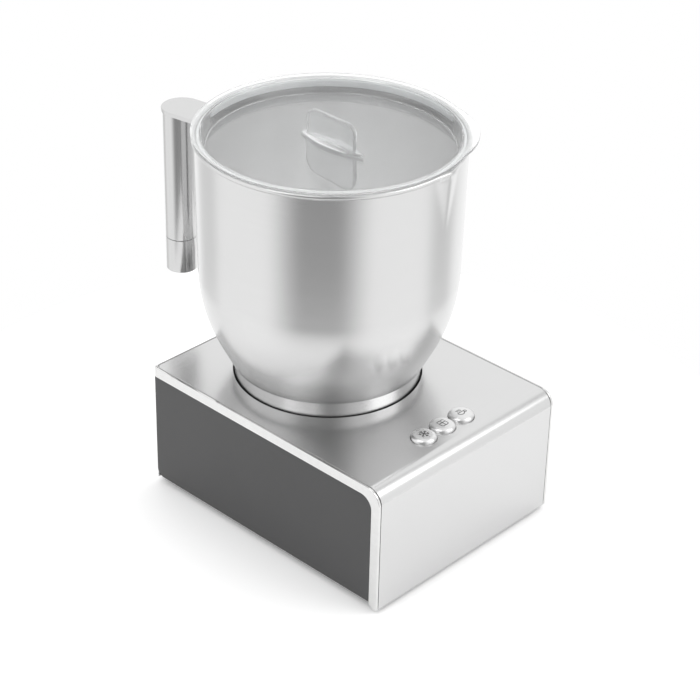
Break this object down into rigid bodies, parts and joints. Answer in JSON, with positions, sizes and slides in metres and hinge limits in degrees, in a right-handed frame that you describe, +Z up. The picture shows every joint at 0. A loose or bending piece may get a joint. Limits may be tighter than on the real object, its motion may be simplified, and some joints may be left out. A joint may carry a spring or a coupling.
{
  "type": "milk frother",
  "caption": "Electric milk frother: steel jug with a clear lid, side handle and magnetic whisk, standing in the well of a box-shaped induction base with push buttons.",
  "frame": {"origin": "on the floor under the middle of the whole object's bounding box", "axes": "+Z up; -Y towards the front, where the buttons are; +Y towards the back, where the cord leaves and the jug's handle roughly points; +X to the right seen from the front"},
  "size_m": [0.1184, 0.1726, 0.1844],
  "materials": {
    "brushed_steel": "fine vertical brushing, satin",
    "polished_steel": "polished",
    "dark_panel": "satin dark grey",
    "black_plastic": "fine moulded grain",
    "rubber": "matt",
    "clear_plastic": "clear, glossy",
    "silicone": "milky, soft",
    "copper": "enamelled winding",
    "ferrite": "sintered, dark",
    "magnet": "nickel plated",
    "circuit_board": "solder mask",
    "aluminium": "satin",
    "steel": "zinc plated"
  },
  "bodies": {
    "base": {"steel_housing": "brushed_steel", "side_trim_left": "polished_steel", "side_trim_right": "polished_steel", "side_panel_left": "dark_panel", "side_panel_right": "dark_panel", "base_plate": "black_plastic", "cord_gland": "black_plastic", "inner_frame": "black_plastic", "coil_carrier": "black_plastic", "induction_coil": "copper", "motor_bracket": "aluminium", "motor_can": "steel", "sensor_spring": "steel", "power_board": "circuit_board", "heat_sink": "aluminium", "power_capacitor": "dark_panel", "filter_choke": "copper", "fan_frame": "black_plastic", "button_board": "circuit_board", "foot_1": "rubber", "base_screw_1": "steel", "ferrite_bar_1": "ferrite", "foot_2": "rubber", "base_screw_2": "steel", "ferrite_bar_2": "ferrite", "foot_3": "rubber", "base_screw_3": "steel", "ferrite_bar_3": "ferrite", "foot_4": "rubber", "base_screw_4": "steel", "ferrite_bar_4": "ferrite", "board_screw_1": "steel", "board_screw_2": "steel", "tact_switch_left": "black_plastic", "tact_switch_middle": "black_plastic", "tact_switch_right": "black_plastic"},
    "rotor": {"motor_shaft": "steel", "rotor_disc": "aluminium", "rotor_magnet_1": "magnet", "rotor_magnet_2": "magnet", "rotor_magnet_3": "magnet", "rotor_magnet_4": "magnet"},
    "fan": {"fan_rotor": "black_plastic"},
    "button_left": {"button_left": "polished_steel"},
    "button_middle": {"button_middle": "polished_steel"},
    "button_right": {"button_right": "polished_steel"},
    "sensor": {"sensor_plunger": "aluminium"},
    "jug": {"jug_body": "brushed_steel", "handle": "polished_steel", "handle_end_cap": "polished_steel", "whisk_spindle": "polished_steel"},
    "lid": {"lid": "clear_plastic", "lid_grip": "clear_plastic", "lid_seal": "silicone"},
    "whisk_carrier": {"whisk_bush": "black_plastic"},
    "whisk": {"whisk_hub": "black_plastic", "whisk_coil": "polished_steel", "whisk_magnet": "magnet"}
  },
  "joints": [
    {"name": "jug_lift", "type": "slide", "parent": "base", "child": "jug", "axis": [0, 0, 1], "range_m": [0, 0.06]},
    {"name": "lid_lift", "type": "slide", "parent": "jug", "child": "lid", "axis": [0, 0, 1], "range_m": [0, 0.04]},
    {"name": "whisk_lift", "type": "slide", "parent": "jug", "child": "whisk_carrier", "axis": [0, 0, 1], "range_m": [0, 0.05]},
    {"name": "whisk_spin", "type": "hinge", "parent": "whisk_carrier", "child": "whisk", "pos_m": [0, -0.00181, 0.065], "axis": [0, 0, 1], "continuous": true},
    {"name": "rotor_spin", "type": "hinge", "parent": "base", "child": "rotor", "pos_m": [0, -0.00181, 0.05], "axis": [0, 0, 1], "continuous": true},
    {"name": "fan_spin", "type": "hinge", "parent": "base", "child": "fan", "pos_m": [-0.018, 0.01904, 0.01], "axis": [0, 0, 1], "continuous": true},
    {"name": "button_left_press", "type": "slide", "parent": "base", "child": "button_left", "axis": [0, 0, -1], "range_m": [0, 0.0009], "stiffness_N_per_m": 400, "springref_m": -0.001},
    {"name": "button_middle_press", "type": "slide", "parent": "base", "child": "button_middle", "axis": [0, 0, -1], "range_m": [0, 0.0009], "stiffness_N_per_m": 400, "springref_m": -0.001},
    {"name": "button_right_press", "type": "slide", "parent": "base", "child": "button_right", "axis": [0, 0, -1], "range_m": [0, 0.0009], "stiffness_N_per_m": 400, "springref_m": -0.001},
    {"name": "sensor_press", "type": "slide", "parent": "base", "child": "sensor", "axis": [0, 0, -1], "range_m": [0, 0.0015], "stiffness_N_per_m": 200, "springref_m": -0.002, "deforming": ["sensor_spring"]}
  ],
  "couplings": [
    {"joint": "whisk_spin", "follows": "rotor_spin", "ratio": 1}
  ]
}
